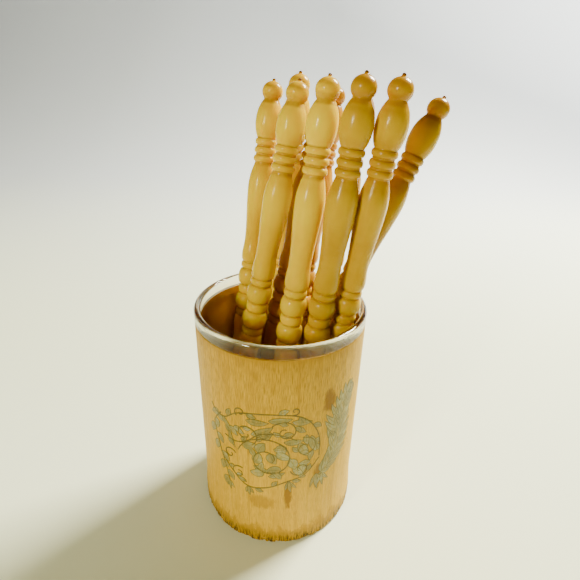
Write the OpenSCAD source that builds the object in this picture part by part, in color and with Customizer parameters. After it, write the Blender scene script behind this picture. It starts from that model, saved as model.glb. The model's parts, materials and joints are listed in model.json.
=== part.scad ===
// Turned double-ended needles standing in a glass with a bamboo sleeve.
// Origin: centre of the sleeve's foot, on the surface it stands on. +Z is up, and -Y is
// the side with the printed ornament. The needles stand loose and lean in the glass.

/* [Needles] */
// Length of a needle from pip to pip
needle_l = 178; // [177:0.5:179]
// Radius of the fat bulb behind each end ball
bulb_r = 5.6; // [5.3:0.1:5.6]
// Radius of the ball that ends the needle
end_ball_r = 4.3; // [4:0.1:4.4]
// Radius of the three rings behind the bulb
ring_r = 4.65; // [4.4:0.05:4.8]
// Largest radius of the long vase-shaped stretch
vase_r = 5.6; // [5.3:0.1:5.6]

/* [Glass] */
// Outside radius of the glass below its lip
glass_r = 34.15; // [34.1:0.05:34.2]
// Wall of the glass
glass_wall = 1.4; // [1.3:0.05:1.45]
// Thickness of the glass base
glass_base = 4; // [3:0.5:4]
// Height of the clear lip that stands above the bamboo
lip_h = 5.5; // [4.5:0.5:6.5]

/* [Sleeve] */
// Outside radius of the bamboo sleeve at its top
sleeve_r = 35.4; // [35.4:0.1:36.4]
// Wall of the bamboo sleeve at its top
sleeve_wall = 1; // [0.9:0.05:1]
// Height of the bamboo sleeve
sleeve_h = 96; // [95:0.5:98]
// Thickness of the natural node that closes the sleeve, ground flat underneath
node_t = 5.3; // [4:0.1:5.3]

/* [Hidden] */
$fn = 72;
gap = 0.1;                                    // under the glass and under the needles
sleeve_low_r = sleeve_r - 0.3;                // the sleeve narrows a little downwards,
sleeve_foot_r = sleeve_r + 0.3;               // and swells again at the node that is its foot
groove_r = 3.9;                               // the grooves between the rings of a needle
glass_z = node_t + gap;                       // underside of the glass
floor_z = glass_z + glass_base;               // inside floor of the glass
glass_top = sleeve_h + lip_h;
cup_r = glass_r - glass_wall;                 // inside radius of the glass
foot_z = floor_z + 0.3;                       // level of the needles' lower pips
rim_z = 100;                                  // level at which the leans are given
half_l = needle_l / 2;

// ---- outline helpers: every point is [radius, distance from the end] ----

// A rounded bead from s0 to s1 that rises from radius low to radius high and back
function bead(s0, s1, low, high, n = 6) =
    [for (k = [0:n]) [low + (high - low) * sin(180 * k / n),
                      s0 + (s1 - s0) * (1 - cos(180 * k / n)) / 2]];

// A swelling that starts steep at (r0, s0) and levels out at (r1, s1)
function swell(s0, r0, s1, r1, p, n) =
    [for (k = [0:n]) let (u = k / n) [r0 + (r1 - r0) * (1 - pow(1 - u, p)), s0 + (s1 - s0) * u]];

// A gentle S-curve from (r0, s0) to (r1, s1), without its first point
function ease(s0, r0, s1, r1, n) =
    [for (k = [1:n]) let (u = k / n) [r0 + (r1 - r0) * (1 - cos(180 * u)) / 2, s0 + (s1 - s0) * u]];

// Half of the needle's outline, from its pip to the middle ring
end_half = concat(
    [[0, 0], [0.45, 0.1], [0.7, 0.5]],
    // the end ball, cut short by the pip and by the neck
    [for (k = [0:8]) let (a = 12 + 15 * k) [end_ball_r * sin(a), 5 - 4.05 * cos(a)]],
    // the bulb, crowned nearest the rings
    swell(8.1, 3.15, 16.6, bulb_r, 2.4, 7),
    [for (k = [1:5]) let (u = k / 5) [bulb_r - (bulb_r - 4.3) * pow(u, 2.2), 16.6 + 6.1 * u]],
    // three rings with round grooves between them
    bead(23.35, 25.85, groove_r, ring_r),
    bead(26.75, 29.25, groove_r, ring_r),
    bead(30.15, 32.65, groove_r, ring_r),
    // the vase: a neck, a long swelling and a long waist
    [[3.85, 33.2]],
    [for (k = [1:5]) let (u = k / 5) [3.85 + (vase_r - 3.85) * sin(90 * u), 33.2 + 9.3 * u]],
    ease(42.5, vase_r, 66.5, 4.3, 8),
    ease(66.5, 4.3, 72.8, 4.85, 4),
    [for (k = [1:3]) [4.85 - 0.5 * (1 - cos(30 * k)), 72.8 + 2.8 * sin(30 * k)]],
    // the middle group: ring, ball, and the first half of the centre ring
    bead(76.4, 79.1, groove_r, 4.6),
    bead(79.7, 86.6, groove_r, 5.3, 8),
    [for (k = [0:3]) [groove_r + 0.7 * sin(30 * k), 87.2 + (half_l - 87.2) * (1 - cos(30 * k))]]
);

// The whole outline is the half, then its mirror image without the middle point
last = len(end_half) - 1;
needle_outline = concat(
    end_half,
    [for (k = [last - 1:-1:0]) [end_half[k][0], needle_l - end_half[k][1]]]
);

// One needle on the line that meets the glass floor at (fx, fy) and passes (rx, ry) at
// rim_z. It stands on its lower pip, or sits wedged that much higher up the line.
module needle(fx, fy, rx, ry, wedged = 0) {
    d = [rx - fx, ry - fy, rim_z - foot_z];
    translate([fx, fy, foot_z])
        rotate([0, acos(d[2] / norm(d)), atan2(d[1], d[0])])
            translate([0, 0, wedged]) rotate_extrude() polygon(needle_outline);
}

// Bamboo cup, turned thin and closed by its natural node, which swells a little
module bamboo_sleeve() {
    color([0.80, 0.66, 0.40])
    rotate_extrude()
        polygon(concat(
            [[0, 0]],
            [for (a = [0:22.5:90]) [sleeve_foot_r - 0.8 + 0.8 * sin(a), 0.8 - 0.8 * cos(a)]],
            ease(4, sleeve_foot_r, 18, sleeve_low_r, 6),
            [for (a = [0:30:90]) [sleeve_r - 0.3 + 0.3 * cos(a), sleeve_h - 0.3 + 0.3 * sin(a)]],
            [[sleeve_r - sleeve_wall, sleeve_h], [sleeve_r - sleeve_wall, node_t], [0, node_t]]
        ));
}

// Clear liner with a heavy base, and a rounded lip as wide as the bamboo
module glass_tumbler() {
    lip_z = sleeve_h + 0.3;
    lip_r = (sleeve_r - cup_r) / 2;
    color([0.80, 0.88, 0.86, 0.35])
    rotate_extrude()
        polygon(concat(
            [[0, glass_z]],
            [for (a = [0:18:90]) [glass_r - 2.5 + 2.5 * sin(a), glass_z + 2.5 - 2.5 * cos(a)]],
            [[glass_r, lip_z]],
            [for (a = [0:30:90]) [sleeve_r - 0.5 + 0.5 * sin(a), lip_z + 0.5 - 0.5 * cos(a)]],
            [for (a = [0:15:180]) [cup_r + lip_r + lip_r * cos(a),
                                   glass_top - 1.6 + 1.6 * sin(a)]],
            [for (a = [0:18:90]) [cup_r - 2 + 2 * cos(a), floor_z + 2 - 2 * sin(a)]],
            [[0, floor_z]]
        ));
}

needle_plastic = [0.90, 0.74, 0.38];

module needle_01() { color(needle_plastic) needle(-26.3, 7.9, -15.2, 21.8); }
module needle_02() { color(needle_plastic) needle(-8.3, 25.1, -1.2, 26.3); }
module needle_03() { color(needle_plastic) needle(-25.9, -4, -9.7, 4.3); }
module needle_04() { color(needle_plastic) needle(-6.1, -15.7, 4.8, -7.5); }
module needle_05() { color(needle_plastic) needle(-15.6, 8.1, 1, 14.5); }
module needle_06() { color(needle_plastic) needle(-2.4, 6.5, 9.9, 23.7); }
module needle_07() { color(needle_plastic) needle(5.5, -10.1, 15.9, -9.2); }
module needle_08() { color(needle_plastic) needle(14.5, -2.4, 26.4, -5); }
module needle_09() { color(needle_plastic) needle(-13.2, -4, 25.3, 7.1, 8); }
module needle_10() { color(needle_plastic) needle(10.5, 17.4, 20.6, 17.3); }

bamboo_sleeve();
glass_tumbler();
needle_01();
needle_02();
needle_03();
needle_04();
needle_05();
needle_06();
needle_07();
needle_08();
needle_09();
needle_10();
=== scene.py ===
import bpy
import json
import math
from mathutils import Euler, Matrix, Vector, noise


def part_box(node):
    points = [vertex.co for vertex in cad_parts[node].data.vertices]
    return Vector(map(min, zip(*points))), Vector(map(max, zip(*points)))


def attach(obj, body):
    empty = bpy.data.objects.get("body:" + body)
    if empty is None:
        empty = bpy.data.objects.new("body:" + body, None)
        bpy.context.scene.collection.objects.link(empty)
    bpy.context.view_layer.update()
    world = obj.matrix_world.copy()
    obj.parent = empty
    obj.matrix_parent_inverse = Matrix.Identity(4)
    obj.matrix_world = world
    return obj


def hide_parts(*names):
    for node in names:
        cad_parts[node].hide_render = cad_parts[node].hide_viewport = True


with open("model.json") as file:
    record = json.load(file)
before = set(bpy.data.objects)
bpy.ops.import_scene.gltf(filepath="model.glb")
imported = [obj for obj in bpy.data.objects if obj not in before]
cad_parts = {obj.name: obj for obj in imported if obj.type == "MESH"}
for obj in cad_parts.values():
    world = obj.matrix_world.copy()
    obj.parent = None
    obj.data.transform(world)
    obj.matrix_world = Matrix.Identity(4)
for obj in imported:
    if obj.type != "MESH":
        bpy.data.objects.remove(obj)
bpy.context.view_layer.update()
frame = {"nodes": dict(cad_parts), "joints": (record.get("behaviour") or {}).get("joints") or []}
joints = {j["child"]: j for j in frame["joints"]}
MM = 0.001

# ---------------------------------------------------------------- node helpers


def new_material(name):
    mat = bpy.data.materials.new(name)
    mat.use_nodes = True
    tree = mat.node_tree
    tree.nodes.clear()
    out = tree.nodes.new("ShaderNodeOutputMaterial")
    shader = tree.nodes.new("ShaderNodeBsdfPrincipled")
    tree.links.new(shader.outputs[0], out.inputs[0])
    return mat, tree, shader


def node(tree, kind, **values):
    """A node, with its inputs set or linked by name, and its other properties set."""
    n = tree.nodes.new(kind)
    inputs = values.pop("inputs", {})
    for key, value in values.items():
        setattr(n, key, value)
    for key, value in inputs.items():
        socket = n.inputs[key]
        if isinstance(value, bpy.types.NodeSocket):
            tree.links.new(value, socket)
        else:
            socket.default_value = value
    return n


def math_node(tree, operation, a, b=0.0, c=0.0):
    return node(tree, "ShaderNodeMath", operation=operation, inputs={0: a, 1: b, 2: c}).outputs[0]


def ramp(tree, fac, stops):
    """A colour ramp; stops are (place, colour), in rising order."""
    n = node(tree, "ShaderNodeValToRGB", inputs={"Fac": fac})
    n.color_ramp.interpolation = "LINEAR"
    while len(n.color_ramp.elements) < len(stops):
        n.color_ramp.elements.new(0.5)
    for element, (place, colour) in zip(n.color_ramp.elements, stops):
        element.position = place
        element.color = (*colour, 1.0)
    return n.outputs[0]


def grey(v):
    return (v, v, v)


def mix(tree, fac, a, b, blend="MIX"):
    """Colour a, blended with colour b by fac. Each may be a socket or a value."""
    n = tree.nodes.new("ShaderNodeMix")
    n.data_type = "RGBA"
    n.blend_type = blend
    for socket, value in ((n.inputs[0], fac), (n.inputs[6], a), (n.inputs[7], b)):
        if isinstance(value, bpy.types.NodeSocket):
            tree.links.new(value, socket)
        elif socket == n.inputs[0]:
            socket.default_value = value
        else:
            socket.default_value = (*value, 1.0)
    return n.outputs[2]


def noise_tex(tree, vector, scale, detail, rough):
    n = node(tree, "ShaderNodeTexNoise",
             inputs={"Vector": vector, "Scale": scale, "Detail": detail, "Roughness": rough})
    return n.outputs[0]


def bump(tree, height, strength, distance):
    return node(tree, "ShaderNodeBump",
                inputs={"Height": height, "Strength": strength, "Distance": distance}).outputs[0]


def object_mm(tree):
    """Object coordinates in millimetres: the vector and its x, y, z."""
    coord = tree.nodes.new("ShaderNodeTexCoord")
    scaled = node(tree, "ShaderNodeVectorMath", operation="SCALE",
                  inputs={0: coord.outputs["Object"], "Scale": 1000.0}).outputs[0]
    parts = node(tree, "ShaderNodeSeparateXYZ", inputs={0: scaled})
    return scaled, parts.outputs[0], parts.outputs[1], parts.outputs[2]


# ---------------------------------------------------------------- mesh helpers


def add_object(name, verts, faces, material, smooth=True):
    mesh = bpy.data.meshes.new(name)
    mesh.from_pydata(verts, [], faces)
    mesh.validate()
    mesh.update()
    for face in mesh.polygons:
        face.use_smooth = smooth
    obj = bpy.data.objects.new(name, mesh)
    bpy.context.scene.collection.objects.link(obj)
    mesh.materials.append(material)
    return obj


def lathe(outline, turns, wobble=None):
    """Vertices and faces of a closed solid turned about Z. outline runs from axis to axis in (r, z) mm.

    wobble(r, z, angle) gives the point's own r and z.
    """
    verts = [(0.0, 0.0, outline[0][1] * MM)]
    for r, z in outline[1:-1]:
        for k in range(turns):
            a = 2 * math.pi * k / turns
            rr, zz = (r, z) if wobble is None else wobble(r, z, a)
            verts.append((rr * math.cos(a) * MM, rr * math.sin(a) * MM, zz * MM))
    verts.append((0.0, 0.0, outline[-1][1] * MM))
    rings = len(outline) - 2
    faces = []
    for k in range(turns):
        faces.append((0, 1 + (k + 1) % turns, 1 + k))
    for i in range(rings - 1):
        a, b = 1 + i * turns, 1 + (i + 1) * turns
        for k in range(turns):
            n = (k + 1) % turns
            faces.append((a + k, a + n, b + n, b + k))
    top = len(verts) - 1
    a = 1 + (rings - 1) * turns
    for k in range(turns):
        faces.append((a + k, a + (k + 1) % turns, top))
    return verts, faces


def arc(cr, cz, radius, start, end, steps, squash=1.0):
    """Points of an arc in the (r, z) plane; angles in degrees from +r towards +z."""
    out = []
    for k in range(steps + 1):
        a = math.radians(start + (end - start) * k / steps)
        out.append((cr + radius * math.cos(a), cz + radius * squash * math.sin(a)))
    return out


# ---------------------------------------------------------------- needles

NEEDLE_L = 178.0
HALF_L = NEEDLE_L / 2
BALL_R = 4.265
BULB_R = 5.57
RING_R = 4.63
VASE_R = 5.57
GROOVE_R = 3.9
PIP_L = 0.9             # length of the brown pip
NEEDLE_TURNS = 48
RAMP_R = 6.0            # the radius that is 1 on the colour ramps


def bead(s0, s1, low, high, n=12):
    """A rounded bead from s0 to s1 that rises from radius low to radius high and back."""
    return [(low + (high - low) * math.sin(math.pi * k / n),
             s0 + (s1 - s0) * (1 - math.cos(math.pi * k / n)) / 2) for k in range(n + 1)]


def ease(s0, r0, s1, r1, n):
    """A gentle S-curve from (r0, s0) to (r1, s1), without its first point."""
    return [(r0 + (r1 - r0) * (1 - math.cos(math.pi * k / n)) / 2, s0 + (s1 - s0) * k / n)
            for k in range(1, n + 1)]


def needle_half():
    """The outline in (radius, distance from the end), as in the CAD but with more points."""
    pts = [(0.0, 0.02), (0.28, 0.03), (0.45, 0.1), (0.62, 0.28), (0.7, 0.55), (0.74, 0.9)]
    pts += [(BALL_R * math.sin(math.radians(a)), 5 - 4.03 * math.cos(math.radians(a)))
            for a in range(12, 133, 8)]
    pts += [(3.15 + (BULB_R - 3.15) * (1 - (1 - k / 14) ** 2.4), 8.1 + 8.5 * k / 14) for k in range(15)]
    pts += [(BULB_R - (BULB_R - 4.3) * (k / 10) ** 2.2, 16.6 + 6.1 * k / 10) for k in range(1, 11)]
    for s0 in (23.35, 26.75, 30.15):
        pts += bead(s0, s0 + 2.5, GROOVE_R, RING_R)
    pts += [(3.85, 33.2)]
    pts += [(3.85 + (VASE_R - 3.85) * math.sin(math.pi / 2 * k / 12), 33.2 + 9.3 * k / 12)
            for k in range(1, 13)]
    pts += ease(42.5, VASE_R, 66.5, 4.3, 20) + ease(66.5, 4.3, 72.8, 4.83, 8)
    pts += [(4.83 - 0.5 * (1 - math.cos(math.pi / 12 * k)), 72.8 + 2.8 * math.sin(math.pi / 12 * k))
            for k in range(1, 7)]
    pts += bead(76.4, 79.1, GROOVE_R, 4.58) + bead(79.7, 86.6, GROOVE_R, 5.28, 16)
    pts += [(GROOVE_R + 0.68 * math.sin(math.pi / 12 * k),
             87.2 + (HALF_L - 87.2) * (1 - math.cos(math.pi / 12 * k))) for k in range(7)]
    return pts


def needle_material(name, shadow, body, crown_tone, gloss):
    """Aged plastic: cloudy, amber where the turning is narrow, paler on crowns, and brown on pips."""
    mat, tree, shader = new_material(name)
    vec = object_mm(tree)[0]
    radius = node(tree, "ShaderNodeAttribute", attribute_name="turned_radius").outputs["Fac"]
    pip = node(tree, "ShaderNodeAttribute", attribute_name="pip").outputs["Fac"]
    flow = noise_tex(tree, vec, 0.05, 4.0, 0.6)
    cloud = noise_tex(tree, vec, 0.35, 3.0, 0.55)
    fine = noise_tex(tree, vec, 2.2, 4.0, 0.6)
    tone = ramp(tree, flow, [(0.32, shadow), (0.60, body)])
    tone = mix(tree, math_node(tree, "MULTIPLY", cloud, 0.3), tone, shadow)
    crown = ramp(tree, math_node(tree, "DIVIDE", radius, RAMP_R), [(0.80, grey(0.0)), (0.93, grey(0.45))])
    tone = mix(tree, crown, tone, crown_tone)
    # darker amber in the grooves and wherever the turning is narrow
    groove = ramp(tree, math_node(tree, "DIVIDE", radius, RAMP_R), [(0.655, grey(1.0)), (0.72, grey(0.0))])
    groove_darkening = math_node(tree, "MULTIPLY", groove, math_node(tree, "MULTIPLY_ADD", cloud, 0.7, 0.15))
    tone = mix(tree, groove_darkening, tone, (0.38, 0.15, 0.001))
    speck = ramp(tree, fine, [(0.70, grey(0.0)), (0.76, grey(0.5))])
    tone = mix(tree, speck, tone, (0.30, 0.13, 0.001))
    tone = mix(tree, pip, tone, (0.11, 0.05, 0.006))
    tree.links.new(tone, shader.inputs["Base Color"])
    rough = ramp(tree, fine, [(0.35, grey(0.20)), (0.75, grey(0.32))])
    tree.links.new(rough, shader.inputs["Roughness"])
    scuff = noise_tex(tree, vec, 0.9, 5.0, 0.65)
    tree.links.new(bump(tree, scuff, 0.12, 0.0002), shader.inputs["Normal"])
    shader.inputs["IOR"].default_value = 1.5
    shader.inputs["Specular IOR Level"].default_value = gloss
    shader.inputs["Subsurface Weight"].default_value = 0.30
    shader.inputs["Subsurface Radius"].default_value = (1.0, 0.45, 0.02)
    shader.inputs["Subsurface Scale"].default_value = 0.004
    shader.inputs["Coat Weight"].default_value = 0.10
    shader.inputs["Coat Roughness"].default_value = 0.08
    return mat


# one plastic in five tones, from painted light to painted deep shade
PAINTED_LIT_BUTTER = needle_material(
    "plastic_painted_lit_butter", (0.80, 0.50, 0.001), (0.93, 0.62, 0.003), (0.98, 0.73, 0.006), 0.12)
PAINTED_LIT_CREAM = needle_material(
    "plastic_painted_lit_cream", (0.73, 0.44, 0.001), (0.86, 0.57, 0.001), (0.94, 0.69, 0.002), 0.10)
PAINTED_SHADE_HONEY = needle_material(
    "plastic_painted_shade_honey", (0.48, 0.26, 0.001), (0.62, 0.37, 0.001), (0.75, 0.49, 0.002), 0.14)
PAINTED_SHADE_EMBER = needle_material(
    "plastic_painted_shade_ember", (0.46, 0.20, 0.001), (0.60, 0.30, 0.001), (0.70, 0.41, 0.002), 0.12)
PAINTED_DEEP_SHADE_AMBER = needle_material(
    "plastic_painted_deep_shade_amber", (0.40, 0.20, 0.001), (0.51, 0.30, 0.001), (0.67, 0.44, 0.002), 0.14)
# painted light and shade: the needles on the left get paler copies of the plastic, painted as if lit, and
# those behind and on the right get deeper copies, painted as if in shade; a needle that isn't named here
# gets the honey copy
TONES = {"needle_01": PAINTED_LIT_CREAM, "needle_02": PAINTED_LIT_BUTTER, "needle_03": PAINTED_LIT_CREAM, "needle_04": PAINTED_LIT_BUTTER,
         "needle_05": PAINTED_SHADE_EMBER, "needle_06": PAINTED_SHADE_EMBER, "needle_10": PAINTED_SHADE_EMBER, "needle_09": PAINTED_DEEP_SHADE_AMBER}

half = needle_half()
needle_outline = half + [(r, NEEDLE_L - s) for r, s in half[-2::-1]]
needle_outline = [(r, s - HALF_L) for r, s in needle_outline]
needle_verts, needle_faces = lathe(needle_outline, NEEDLE_TURNS)
turned_radius = [0.0] + [r for r, z in needle_outline[1:-1] for k in range(NEEDLE_TURNS)] + [0.0]
pip_mark = [1.0 if HALF_L - abs(v[2]) / MM < PIP_L else 0.0 for v in needle_verts]

for name in sorted(n for n in frame["nodes"] if n.startswith("needle_")):
    low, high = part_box(name)
    axis = Vector(joints[name]["axis"])
    tilt = math.acos(axis.z / axis.length)
    heading = math.atan2(axis.y, axis.x)
    lean = Euler((0.0, tilt, heading), "XYZ").to_matrix().to_4x4()
    stand = Matrix.Translation((Vector(low) + Vector(high)) / 2) @ lean
    piece = add_object("turned_" + name, [stand @ Vector(v) for v in needle_verts], needle_faces,
                       TONES.get(name, PAINTED_SHADE_HONEY))
    piece.data.attributes.new("turned_radius", "FLOAT", "POINT").data.foreach_set("value", turned_radius)
    piece.data.attributes.new("pip", "FLOAT", "POINT").data.foreach_set("value", pip_mark)
    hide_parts(name)
    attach(piece, name)

# ---------------------------------------------------------------- glass


def glass_material():
    """Clear glass, a little smeared, with a thin clear wall and a more solid lip."""
    mat, tree, shader = new_material("clear_glass")
    vec, _, _, z = object_mm(tree)
    smear = noise_tex(tree, vec, 0.12, 4.0, 0.6)
    rough = ramp(tree, smear, [(0.45, grey(0.02)), (0.80, grey(0.06))])
    tree.links.new(rough, shader.inputs["Roughness"])
    tint = ramp(tree, smear, [(0.2, (1.0, 0.985, 0.93)), (0.9, (0.985, 0.965, 0.89))])
    # painted light: the glass is tinted amber up to the foot of the lip, for the amber light that gathers
    # there
    lip = ramp(tree, math_node(tree, "MULTIPLY_ADD", z, 0.1, -9.2), [(0.5, grey(1.0)), (0.85, grey(0.0))])
    tint = mix(tree, lip, tint, (1.0, 0.86, 0.55))
    tree.links.new(tint, shader.inputs["Base Color"])
    wave = noise_tex(tree, vec, 0.05, 2.0, 0.5)
    tree.links.new(bump(tree, wave, 0.04, 0.0005), shader.inputs["Normal"])
    shader.inputs["Transmission Weight"].default_value = 1.0
    # the thin wall is clearer than the solid lip
    clear = ramp(tree, math_node(tree, "DIVIDE", z, 100.0), [(0.94, grey(0.45)), (0.965, grey(0.95))])
    tree.links.new(clear, shader.inputs["Alpha"])
    shader.inputs["IOR"].default_value = 1.5
    return mat


low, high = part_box("glass_tumbler")
GLASS_Z = low[2] / MM
GLASS_TOP = high[2] / MM
LIP_R = high[0] / MM
GLASS_R = 34.15         # outside radius below the lip
CUP_R = 32.75           # inside radius
GLASS_TURNS = 128
sleeve_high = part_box("bamboo_sleeve")[1]
SLEEVE_H = sleeve_high[2] / MM
lip_half = (LIP_R - CUP_R) / 2
glass_outline = [(0.0, GLASS_Z + 0.02)]
glass_outline += arc(GLASS_R - 2.52, GLASS_Z + 2.52, 2.5, -90, 0, 10)
glass_outline += [(GLASS_R - 0.02, z) for z in (20, 40, 60, 80, 92)]
glass_outline += [(GLASS_R - 0.02, SLEEVE_H + 0.3)]
glass_outline += arc(LIP_R - 0.52, SLEEVE_H + 0.82, 0.5, -90, 0, 6)
glass_outline += arc(CUP_R + lip_half, GLASS_TOP - 1.62, lip_half - 0.01, 0, 180, 24, 1.6 / lip_half)
glass_outline += [(CUP_R + 0.01, z) for z in (90, 75, 60, 45, 30, 18)]
glass_outline += arc(CUP_R - 2.0, GLASS_Z + 6.0, 2.0, 0, -90, 8)
glass_outline += [(0.0, GLASS_Z + 3.98)]
verts, faces = lathe(glass_outline, GLASS_TURNS)
glass = add_object("clear_glass_liner", verts, faces, glass_material())
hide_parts("glass_tumbler")
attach(glass, "glass")

# ---------------------------------------------------------------- bamboo

SKIN_R = 35.0           # the radius that turns an angle into millimetres round the bamboo
# place around, height, half width and half height in mm, and strength
STAINS = ((21.0, 74.5, 2.2, 4.5, 0.95), (17.6, 36.0, 1.6, 5.5, 0.9), (5.0, 29.0, 1.3, 6.0, 0.95),
          (-6.0, 24.5, 4.5, 3.2, 0.5))


def bamboo_material():
    """Bamboo skin: long soft bands, dense short vessel dashes, stains, and a rough brown foot."""
    mat, tree, shader = new_material("natural_bamboo")
    vec, x, y, z = object_mm(tree)
    front_turn = math_node(tree, "ARCTAN2", x, math_node(tree, "MULTIPLY", y, -1.0))
    around = math_node(tree, "MULTIPLY", front_turn, SKIN_R)

    def skin(stretch, scale, detail, rough, shift=0.0):
        """Noise on the unrolled skin, drawn out stretch times along the grain."""
        across = math_node(tree, "ADD", around, shift)
        up = math_node(tree, "DIVIDE", z, stretch)
        v = node(tree, "ShaderNodeCombineXYZ", inputs={0: across, 1: up, 2: 0.0}).outputs[0]
        return noise_tex(tree, v, scale, detail, rough)

    broad = skin(9.0, 0.12, 4.0, 0.6)
    streak = skin(30.0, 0.9, 4.0, 0.65)
    vessel = skin(22.0, 4.6, 2.0, 0.6)
    hair = skin(16.0, 4.5, 2.0, 0.6, 11.0)
    long_line = skin(120.0, 0.55, 1.0, 0.4, 7.0)
    colour = ramp(tree, broad, [(0.30, (0.69, 0.39, 0.018)), (0.55, (0.79, 0.465, 0.028)),
                                (0.78, (0.88, 0.545, 0.045))])
    streaks = ramp(tree, streak, [(0.42, grey(0.0)), (0.70, grey(0.55))])
    colour = mix(tree, streaks, colour, (0.60, 0.31, 0.008))
    hairs = ramp(tree, hair, [(0.52, grey(0.0)), (0.70, grey(0.4))])
    colour = mix(tree, hairs, colour, (0.97, 0.66, 0.06))
    # the vessels show most in the upper part, under the rim
    upper = ramp(tree, math_node(tree, "DIVIDE", z, 100.0), [(0.35, grey(0.45)), (0.95, grey(1.0))])
    dash = ramp(tree, vessel, [(0.46, grey(0.0)), (0.60, grey(0.80))])
    dash = math_node(tree, "MULTIPLY", dash, upper)
    colour = mix(tree, dash, colour, (0.33, 0.17, 0.008))
    lines = ramp(tree, long_line, [(0.63, grey(0.0)), (0.69, grey(0.30))])
    colour = mix(tree, lines, colour, (0.40, 0.19, 0.016))
    rim_band = ramp(tree, math_node(tree, "DIVIDE", z, 100.0),
                    [(0.80, grey(0.0)), (0.93, grey(0.4)), (0.955, grey(0.9))])
    colour = mix(tree, math_node(tree, "MULTIPLY", rim_band, math_node(tree, "ADD", streak, 0.2)), colour,
                 (0.46, 0.23, 0.008))
    # darker clouds of grain
    cloud = ramp(tree, skin(5.0, 0.16, 4.0, 0.65, 51.0), [(0.48, grey(0.0)), (0.66, grey(0.55))])
    colour = mix(tree, math_node(tree, "MULTIPLY", cloud, math_node(tree, "ADD", streak, 0.15)), colour,
                 (0.50, 0.27, 0.012))
    # stains with ragged edges
    ragged = math_node(tree, "MULTIPLY_ADD", skin(4.0, 0.8, 4.0, 0.7, 31.0), 2.4, -1.2)
    for u, v, half_w, half_h, strength in STAINS:
        du = math_node(tree, "DIVIDE", math_node(tree, "SUBTRACT", around, u), half_w)
        dv = math_node(tree, "DIVIDE", math_node(tree, "SUBTRACT", z, v), half_h)
        d2 = math_node(tree, "ADD", math_node(tree, "MULTIPLY", du, du),
                       math_node(tree, "MULTIPLY", dv, dv))
        spot = ramp(tree, math_node(tree, "MULTIPLY_ADD", d2, 0.5, ragged),
                    [(0.40, grey(strength)), (1.0, grey(0.0))])
        colour = mix(tree, spot, colour, (0.30, 0.14, 0.005))
    # the node at the foot: a ragged ochre band with dark broken fibres
    rag = math_node(tree, "MULTIPLY_ADD", skin(3.0, 0.22, 5.0, 0.75, 3.0), 26.0, -3.5)
    foot = ramp(tree, math_node(tree, "DIVIDE", math_node(tree, "SUBTRACT", rag, z), 4.0),
                [(0.0, grey(0.0)), (0.55, grey(0.8)), (1.0, grey(0.95))])
    colour = mix(tree, foot, colour, (0.47, 0.25, 0.006))
    tick = ramp(tree, skin(7.0, 1.2, 3.0, 0.7, 17.0), [(0.46, grey(0.0)), (0.56, grey(1.0))])
    low_band = ramp(tree, math_node(tree, "DIVIDE", z, 10.0), [(0.25, grey(1.0)), (0.75, grey(0.0))])
    colour = mix(tree, math_node(tree, "MULTIPLY", tick, low_band), colour, (0.07, 0.045, 0.006))
    # painted shade: the inside is a deeper amber, for the shade inside the sleeve
    flat = node(tree, "ShaderNodeVectorMath", operation="MULTIPLY",
                inputs={0: vec, 1: (1.0, 1.0, 0.0)}).outputs[0]
    radius = node(tree, "ShaderNodeVectorMath", operation="LENGTH", inputs={0: flat}).outputs["Value"]
    painted_inner_shade = ramp(tree, math_node(tree, "DIVIDE", radius, 40.0), [(0.868, grey(0.9)), (0.872, grey(0.0))])
    colour = mix(tree, painted_inner_shade, colour, (0.66, 0.29, 0.007))
    tree.links.new(colour, shader.inputs["Base Color"])
    rough = ramp(tree, streak, [(0.3, grey(0.42)), (0.8, grey(0.62))])
    tree.links.new(rough, shader.inputs["Roughness"])
    height = math_node(tree, "ADD", math_node(tree, "MULTIPLY", streak, 0.6),
                       math_node(tree, "MULTIPLY", dash, -0.5))
    tree.links.new(bump(tree, height, 0.6, 0.0003), shader.inputs["Normal"])
    shader.inputs["Specular IOR Level"].default_value = 0.10
    return mat


FOOT_R = sleeve_high[0] / MM
TOP_R = FOOT_R - 0.3
WALL_R = TOP_R - 1.0    # inside radius
NODE_TOP = 5.3          # top of the node that closes the sleeve
SKIN = 0.10             # the face lies this much inside the CAD's, so that the print fits on it
SLIM = 0.3              # the sleeve narrows by this much from its top down to the node
SWELL = 0.6             # and the node swells by this much, fading between these two heights
SWELL_LOW = 4
SWELL_TOP = 18
WORN_H = 9.0            # the foot is worn up to this height
CHIP_H = 3.0            # and its edge is lifted by fibres up to this one
SLEEVE_TURNS = 512


def outer_r(z):
    """Radius of the bamboo's outer face at height z, in mm: widest at its foot, least just above it."""
    fading = min(1.0, max(0.0, (z - SWELL_LOW) / (SWELL_TOP - SWELL_LOW)))
    node_swell = SWELL * (1 + math.cos(math.pi * fading)) / 2
    return TOP_R - SLIM + SLIM * max(0.0, z - SWELL_TOP) / (SLEEVE_H - SWELL_TOP) + node_swell - SKIN


def sleeve_wobble(r, z, a):
    """Soft unevenness, and a foot with broken fibres."""
    if r < WALL_R - 1.5:
        return r, z
    soft = 0.035 * noise.noise(Vector((math.cos(a) * 2.2, math.sin(a) * 2.2, z * 0.03))) - 0.035
    if r < WALL_R + 0.3 and z > 1:
        return r + soft, z
    fibre = max(0.0, noise.noise(Vector((math.cos(a) * 34, math.sin(a) * 34, z * 0.12))))
    chip = max(0.0, noise.noise(Vector((math.cos(a) * 9, math.sin(a) * 9, z * 0.4))))
    worn = max(0.0, 1 - z / WORN_H)
    lift = 0.9 * (fibre + chip) * max(0.0, 1 - z / CHIP_H)
    return r + soft - worn * (0.35 * fibre + 0.45 * chip), z + lift


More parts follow.
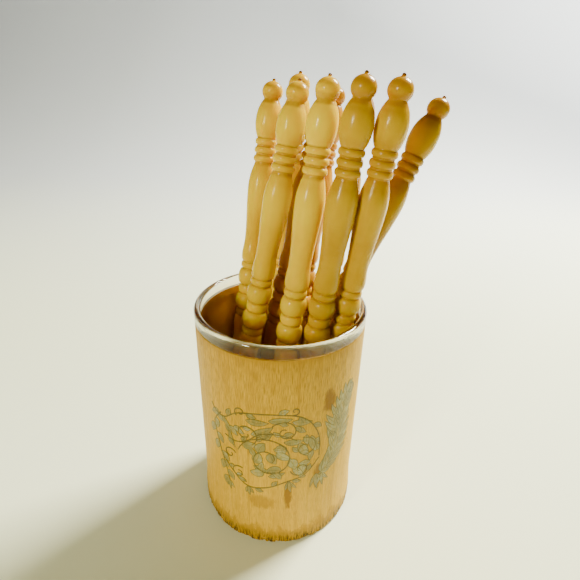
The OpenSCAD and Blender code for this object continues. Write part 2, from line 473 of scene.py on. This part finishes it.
sleeve_outline = [(0.0, 0.0), (32.0, 0.0)]
sleeve_outline += arc(outer_r(0) - 0.8, 0.8, 0.8, -90, 0, 6)
sleeve_outline += [(outer_r(z), z)
                   for z in (1.1, 1.4, 1.7, 2.0, 2.5, 3.0, 3.5, 4.0, 5.0, 6.0, 7.5, 9.0, 10.5, 12.0)]
sleeve_outline += [(outer_r(z), float(z)) for z in range(14, 95, 4)]
sleeve_outline += arc(outer_r(SLEEVE_H) - 0.3, SLEEVE_H - 0.3, 0.3, 0, 90, 5)
sleeve_outline += [(WALL_R + 0.25, SLEEVE_H), (WALL_R + 0.02, SLEEVE_H - 0.3), (WALL_R + 0.02, 50.0),
                   (WALL_R + 0.02, NODE_TOP + 0.1), (20.0, NODE_TOP), (0.0, NODE_TOP)]
verts, faces = lathe(sleeve_outline, SLEEVE_TURNS, sleeve_wobble)
sleeve = add_object("turned_bamboo_sleeve", verts, faces, bamboo_material())
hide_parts("bamboo_sleeve")
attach(sleeve, "sleeve")

# ---------------------------------------------------------------- printed ornament
# Points are (u, v) in mm: u round the bamboo from its front, v up from its foot.


def spiral(cu, cv, r0, r1, start, turn, n=44):
    """A spiral about (cu, cv), from radius r0 to r1 while its angle runs turn degrees from start."""
    pts = []
    for k in range(n + 1):
        a = math.radians(start + turn * k / n)
        r = r0 + (r1 - r0) * (k / n) ** 0.85
        pts.append((cu + r * math.cos(a), cv + r * math.sin(a)))
    return pts


def through(knots, n=9):
    """A smooth curve through the knots."""
    ks = [knots[0]] + list(knots) + [knots[-1]]
    pts = []
    for i in range(1, len(ks) - 2):
        p0, p1, p2, p3 = (Vector(p) for p in ks[i - 1:i + 3])
        for k in range(n):
            t = k / n
            p = 0.5 * (2 * p1 + (p2 - p0) * t + (2 * p0 - 5 * p1 + 4 * p2 - p3) * t * t
                       + (3 * p1 - p0 - 3 * p2 + p3) * t ** 3)
            pts.append((p.x, p.y))
    pts.append(tuple(knots[-1]))
    return pts


def on_bamboo(u, v, lift):
    """The point lift mm above the bamboo's face at (u, v)."""
    r = outer_r(v) + lift
    a = -math.pi / 2 + u / TOP_R
    return (r * math.cos(a) * MM, r * math.sin(a) * MM, v * MM)


PRINT_ROOT = -0.09      # the strips' undersides, mm inside the bamboo's face
LAYER = 0.020           # from one layer of the print to the next, mm
HAIR = 0.0004           # between strips in one layer, mm
VEIN_W = -0.08          # half width of a leaf's vein, before the edges' own growth


class Print:
    """Thin closed strips that follow the bamboo's face, gathered into one mesh."""

    def __init__(self, lift, grow):
        self.lift = lift        # of the lowest layer above the face, in mm
        self.grow = grow        # added to each strip's half width
        self.verts = []
        self.faces = []
        self.count = 0

    def strip(self, pts, half_width, layer=0):
        """A strip along pts. half_width gives its half width for 0 at the start to 1 at the end."""
        rows = []
        last = len(pts) - 1
        for i, (u, v) in enumerate(pts):
            a, b = Vector(pts[max(0, i - 1)]), Vector(pts[min(last, i + 1)])
            along = (b - a).normalized()
            side = Vector((-along.y, along.x)) * max(0.05, half_width(i / last) + self.grow)
            if i in (0, last):
                shift = along * self.grow * (1 if i else -1)
                u, v = u + shift.x, v + shift.y
            rows.append(((u + side.x, v + side.y), (u, v), (u - side.x, v - side.y)))
        base = len(self.verts)
        # neighbours lie a hair apart, so that no two faces coincide where strips cross
        self.count += 1
        face_lift = self.lift + LAYER * layer + HAIR * (self.count % 12)
        for lift in (face_lift, PRINT_ROOT):
            for row in rows:
                self.verts += [on_bamboo(u, v, lift) for u, v in row]
        n = len(rows)
        low = base + 3 * n
        for i in range(n - 1):
            a, b = base + 3 * i, base + 3 * (i + 1)
            c, d = low + 3 * i, low + 3 * (i + 1)
            for k in (0, 1):
                self.faces.append((a + k, a + k + 1, b + k + 1, b + k))
                self.faces.append((c + k + 1, c + k, d + k, d + k + 1))
            self.faces.append((a, b, d, c))
            self.faces.append((b + 2, a + 2, c + 2, d + 2))
        for row, flip in ((0, False), (n - 1, True)):
            a, c = base + 3 * row, low + 3 * row
            for k in (0, 1):
                face = (a + k, c + k, c + k + 1, a + k + 1)
                self.faces.append(face[::-1] if flip else face)

    def make(self, name, material):
        obj = add_object(name, self.verts, self.faces, material, smooth=False)
        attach(obj, "sleeve")


def taper(w, tip=0.3):
    """Half width of a stem that narrows to its end."""
    return lambda t: w * (tip + (1 - tip) * math.sin(math.pi * min(1.0, 0.25 + 0.75 * t)))


def leaf_shape(w):
    """Half width of a pointed leaf."""
    return lambda t: w * math.sin(math.pi * t ** 0.8) ** 0.8 if 0 < t < 1 else 0.0


def leaf(u, v, heading, length, w, bend=25.0):
    """A curved leaf that grows from (u, v)."""
    pts = [(u, v)]
    for k in range(9):
        a = math.radians(heading + bend * k / 9)
        u += math.cos(a) * length / 9
        v += math.sin(a) * length / 9
        pts.append((u, v))
    return pts, leaf_shape(w), True


STROKES = []   # (points, half width, whether it has a silver fill)


def stem(pts, leaves=(), size=4.2, fat=0.30, w=0.12):
    """A thin stem with leaves at those fractions of its length, on alternate sides."""
    STROKES.append((pts, taper(w), False))
    for k, f in enumerate(leaves):
        i = int(f * (len(pts) - 2))
        (u, v), (u2, v2) = pts[i], pts[i + 1]
        heading = math.degrees(math.atan2(v2 - v, u2 - u))
        side = 1 if k % 2 else -1
        STROKES.append(leaf(u, v, heading + 48 * side, size, size * fat, -38.0 * side))


def draw_frame():
    """The border, the vine on its left and the long curve under it."""
    stem(through([(-29.5, 68), (-27, 65.5), (-22, 65), (-16, 69.5), (-8, 71.5), (2, 72), (9, 70.5), (14, 66),
                  (17.5, 58), (18, 48)]), (0.16, 0.27, 0.40, 0.55, 0.68, 0.80, 0.9))
    stem(through([(-24, 66), (-28, 60), (-27, 53), (-25, 46), (-22.5, 38), (-21, 31)]),
         (0.05, 0.16, 0.28, 0.40, 0.52, 0.64, 0.76, 0.88, 0.97), 5.2, 0.33)
    stem(through([(-25, 45), (-19, 38), (-12, 32.5), (-4, 33.5), (4, 37), (12, 40), (18, 47)]),
         (0.10, 0.25, 0.42, 0.58, 0.74, 0.9), 3.6)
    stem(spiral(-14.5, 70.5, 2.6, 0.8, 230, -330, 22))
    stem(spiral(-20, 47, 3.2, 0.9, 30, 360, 24))
    stem(spiral(7, 73.5, 2.0, 0.6, 250, 330, 20))


def draw_wheels():
    """The leafy spirals inside the border."""
    stem(spiral(-3.5, 49, 12.5, 2.2, 170, -560, 60),
         (0.04, 0.13, 0.22, 0.31, 0.40, 0.50, 0.60, 0.72, 0.84), 6.0, 0.36)
    stem(spiral(-12.5, 60.5, 5.6, 1.2, 300, 420, 36), (0.10, 0.30, 0.50), 3.4)
    stem(spiral(3.5, 63.5, 5.8, 1.2, 150, -430, 36), (0.10, 0.30, 0.50, 0.7), 3.4)
    stem(spiral(11.5, 54.5, 5.6, 1.2, 100, -430, 36), (0.08, 0.24, 0.42, 0.6), 3.8)
    stem(spiral(-16, 38.5, 3.6, 1.0, 60, 400, 28), (0.2, 0.5), 3.0)
    stem(spiral(10, 43.5, 4.2, 1.0, 190, 400, 28), (0.2, 0.5), 3.2)
    stem(through([(-22, 56), (-17, 55), (-12, 57), (-6, 62), (2, 62), (8, 59)]), (0.1, 0.35, 0.6, 0.85), 3.8)
    for u, v, heading in ((8, 66, -60), (12, 61, -100), (15, 52, -120), (14, 46, 160), (6, 45, 80),
                          (2, 39, 120), (-7, 43, 60), (-1, 55, -20), (-9, 50, 100), (-21, 62, -80),
                          (-19, 62, -65), (-17, 63, -50)):
        STROKES.append(leaf(u, v, heading, 5.0, 1.25, 36.0))


def draw_broad_leaves():
    """Broader leaves that fill the upper part and the right of the border."""
    for u, v, heading, length, w in ((-12, 67.5, -8, 9, 1.5), (-3, 69, -4, 9, 1.5), (6, 68.5, -18, 8, 1.4),
                                     (-10, 61, 20, 10, 1.7), (9, 57.5, -70, 9, 1.9), (14, 60, -85, 9, 1.6),
                                     (12, 48, -110, 8, 1.7), (7, 45, -60, 7, 1.5), (0, 53, -40, 7, 1.8),
                                     (3, 58.5, -10, 8, 1.5), (-20, 59, -80, 8, 1.0), (-23, 65, -60, 7, 1.0),
                                     (-9, 45, -30, 7, 1.3), (-3, 40, 10, 7, 1.3)):
        STROKES.append(leaf(u, v, heading, length, w, 22.0))


def draw_plume():
    """A tall leafy plume, with rows of leaflets on both sides of its rib."""
    rib = through([(18.5, 37), (23, 41), (27, 46.5), (28.5, 54), (28.5, 62), (30.5, 69), (34, 76)], 12)
    for row, (spread, long, fat) in enumerate(((58, 9.2, 1.25), (38, 7.6, 1.3), (18, 6.0, 1.2))):
        for k in range(4 + 2 * row, len(rib) - 4, 5):
            (u, v), (u2, v2) = rib[k], rib[k + 1]
            turn = math.degrees(math.atan2(v2 - v, u2 - u))
            reach = long * (0.40 + 0.60 * math.sin(math.pi * (k / len(rib)) ** 0.9))
            for side, far in ((-1, 1.0), (1, 1.4)):
                STROKES.append(leaf(u, v, turn + spread * side, reach * far, fat, -34.0 * side))
    STROKES.append((rib, taper(0.45), True))
    stem(spiral(34, 73.5, 3.0, 0.8, 100, -380, 24))


def draw_drops():
    """Small leaves that hang under the curve."""
    for u, v, size in ((-21, 31, 5.0), (-11.5, 32, 4.6), (5.5, 37, 6.0), (17, 38, 9.0), (20, 37, 7.5)):
        for heading in (-118, -92, -62):
            STROKES.append(leaf(u, v, heading, size * (1.0 if heading == -92 else 0.8), 0.75, 20.0))


draw_frame()
draw_wheels()
draw_broad_leaves()
draw_plume()
draw_drops()


def print_material(name, stops, fade):
    """Worn screen print: colour clouds, and the bamboo's tan where it has rubbed thin."""
    mat, tree, shader = new_material(name)
    vec = object_mm(tree)[0]
    cloud = noise_tex(tree, vec, 0.22, 4.0, 0.6)
    along = node(tree, "ShaderNodeVectorMath", operation="MULTIPLY", inputs={0: vec, 1: (1.0, 1.0, 0.12)})
    grain = noise_tex(tree, along.outputs[0], 2.4, 3.0, 0.6)
    colour = ramp(tree, cloud, stops)
    worn = ramp(tree, grain, [(0.50, grey(0.0)), (0.66, grey(fade))])
    colour = mix(tree, worn, colour, (0.62, 0.36, 0.03))
    tree.links.new(colour, shader.inputs["Base Color"])
    tree.links.new(ramp(tree, cloud, [(0.3, grey(0.38)), (0.7, grey(0.55))]), shader.inputs["Roughness"])
    tree.links.new(bump(tree, grain, 0.25, 0.0002), shader.inputs["Normal"])
    return mat, shader


edge_mat, edge_shader = print_material(
    "olive_print_edge", [(0.35, (0.115, 0.090, 0.016)), (0.65, (0.175, 0.140, 0.034))], 0.30)
fill_mat, fill_shader = print_material(
    "silver_print",
    [(0.32, (0.22, 0.175, 0.038)), (0.50, (0.30, 0.255, 0.070)), (0.72, (0.46, 0.43, 0.18))], 0.60)
edge_shader.inputs["Specular IOR Level"].default_value = 0.2
fill_shader.inputs["Specular IOR Level"].default_value = 0.25
edges = Print(0.012, 0.15)
fills = Print(0.022, -0.13)
for k, (pts, width, filled) in enumerate(STROKES):
    edges.strip(pts, width, k % 3 if filled else 3)
    if filled:
        fills.strip(pts, width, k % 3)
        # a dark vein along the middle of each leaf
        edges.strip(pts[1:-2], lambda t: VEIN_W, k % 3 + 0.7)
edges.make("print_edges", edge_mat)
fills.make("print_fill", fill_mat)

# ---------------------------------------------------------------- stage, light, camera


def backdrop():
    """A pale sweep: floor, wide curve and wall behind. It glows with painted light, brightest on the right,
    far behind, and its floor has a painted shadow towards the camera.
    """
    profile = [(-2.5, 0.0), (-0.3, 0.0), (0.0, 0.0), (0.6, 0.0)]
    for k in range(1, 25):
        a = math.radians(90 * k / 24)
        profile.append((0.6 + 1.4 * math.sin(a), 1.4 - 1.4 * math.cos(a)))
    profile.append((2.0, 3.5))
    verts = [(x, y, z - 0.0001) for y, z in profile for x in (-3.5, 3.5)]
    faces = [(2 * k, 2 * k + 1, 2 * k + 3, 2 * k + 2) for k in range(len(profile) - 1)]
    mat, tree, shader = new_material("pale_floor")
    vec, x, y, z = object_mm(tree)
    # painted shadow: the floor is painted dark towards the camera, as if shaded in front
    painted_shadow_floor = ramp(tree, math_node(tree, "MULTIPLY_ADD", y, 1 / 400.0, 1.0),
                [(0.0, (0.30, 0.28, 0.14)), (0.55, (0.42, 0.40, 0.22)), (0.88, (0.95, 0.96, 0.64)),
                 (1.0, (0.95, 0.97, 0.68))])
    away = ramp(tree, math_node(tree, "DIVIDE", y, 1000.0), [(0.15, grey(0.0)), (0.75, grey(1.0))])
    painted_shadow_floor = mix(tree, away, painted_shadow_floor, (0.90, 0.92, 0.89))
    soft = noise_tex(tree, vec, 0.004, 2.0, 0.5)
    shade = ramp(tree, soft, [(0.2, grey(0.97)), (0.8, grey(1.0))])
    tree.links.new(mix(tree, 1.0, painted_shadow_floor, shade, "MULTIPLY"), shader.inputs["Base Color"])
    shader.inputs["Roughness"].default_value = 0.75
    shader.inputs["Specular IOR Level"].default_value = 0.2
    # painted light: the sweep glows, most on the right and far behind, none in front of the object, fading
    # out between 0.6 m and 0.9 m up
    glow_x = ramp(tree, math_node(tree, "MULTIPLY_ADD", x, 1 / 6000.0, 0.5),
                  [(0.27, grey(0.0)), (0.30, grey(0.045)), (0.41, grey(0.105)), (0.525, grey(0.26)),
                   (0.65, grey(0.72)), (0.72, grey(1.0)), (0.78, grey(0.0))])
    far = ramp(tree, math_node(tree, "DIVIDE", y, 2000.0),
               [(0.05, grey(0.0)), (0.45, grey(0.6)), (1.0, grey(1.0))])
    tall = ramp(tree, math_node(tree, "DIVIDE", z, 1000.0), [(0.6, grey(1.0)), (0.9, grey(0.0))])
    glow = mix(tree, 1.0, mix(tree, 1.0, glow_x, far, "MULTIPLY"), tall, "MULTIPLY")
    hue = mix(tree, away, (1.0, 1.0, 0.75), (0.96, 1.0, 0.97))
    glow = mix(tree, 1.0, glow, hue, "MULTIPLY")
    tree.links.new(glow, shader.inputs["Emission Color"])
    shader.inputs["Emission Strength"].default_value = 4.6
    return add_object("pale_sweep", verts, faces, mat)


backdrop()


def area_light(name, place, target, size, power, colour):
    data = bpy.data.lights.new(name, "AREA")
    data.shape = "RECTANGLE"
    data.size, data.size_y = size
    data.energy = power
    data.color = colour
    obj = bpy.data.objects.new(name, data)
    obj.location = place
    obj.rotation_euler = (Vector(target) - Vector(place)).to_track_quat("-Z", "Y").to_euler()
    bpy.context.scene.collection.objects.link(obj)


CENTRE = (0.0, 0.0, 0.09)
area_light("window", (-0.62, -0.74, 0.42), CENTRE, (0.16, 0.24), 9.0, (1.0, 0.96, 0.66))
area_light("sun_side", (0.58, 0.45, 0.80), CENTRE, (0.28, 0.28), 40.0, (1.0, 1.0, 0.88))

world = bpy.data.worlds.new("studio")
world.use_nodes = True
world.node_tree.nodes["Background"].inputs[0].default_value = (0.93, 0.95, 0.96, 1.0)
world.node_tree.nodes["Background"].inputs[1].default_value = 0.04
bpy.context.scene.world = world

PITCH = math.radians(25.4)
ROLL = math.radians(1.5)
forward = Vector((0.0, math.cos(PITCH), -math.sin(PITCH)))
right = Vector((1.0, 0.0, 0.0))
up = right.cross(forward)
cam_right = right * math.cos(ROLL) + up * math.sin(ROLL)
cam_up = up * math.cos(ROLL) - right * math.sin(ROLL)
data = bpy.data.cameras.new("camera")
data.sensor_width = 36.0
data.lens = 26.25
data.clip_start = 0.01
camera = bpy.data.objects.new("camera", data)
camera.location = (0.0037, -0.1560, 0.1806)
columns = (cam_right, cam_up, -forward)
rows = [[c[i] for c in columns] for i in range(3)]
camera.rotation_euler = Matrix(rows).to_euler()
bpy.context.scene.collection.objects.link(camera)
bpy.context.scene.camera = camera
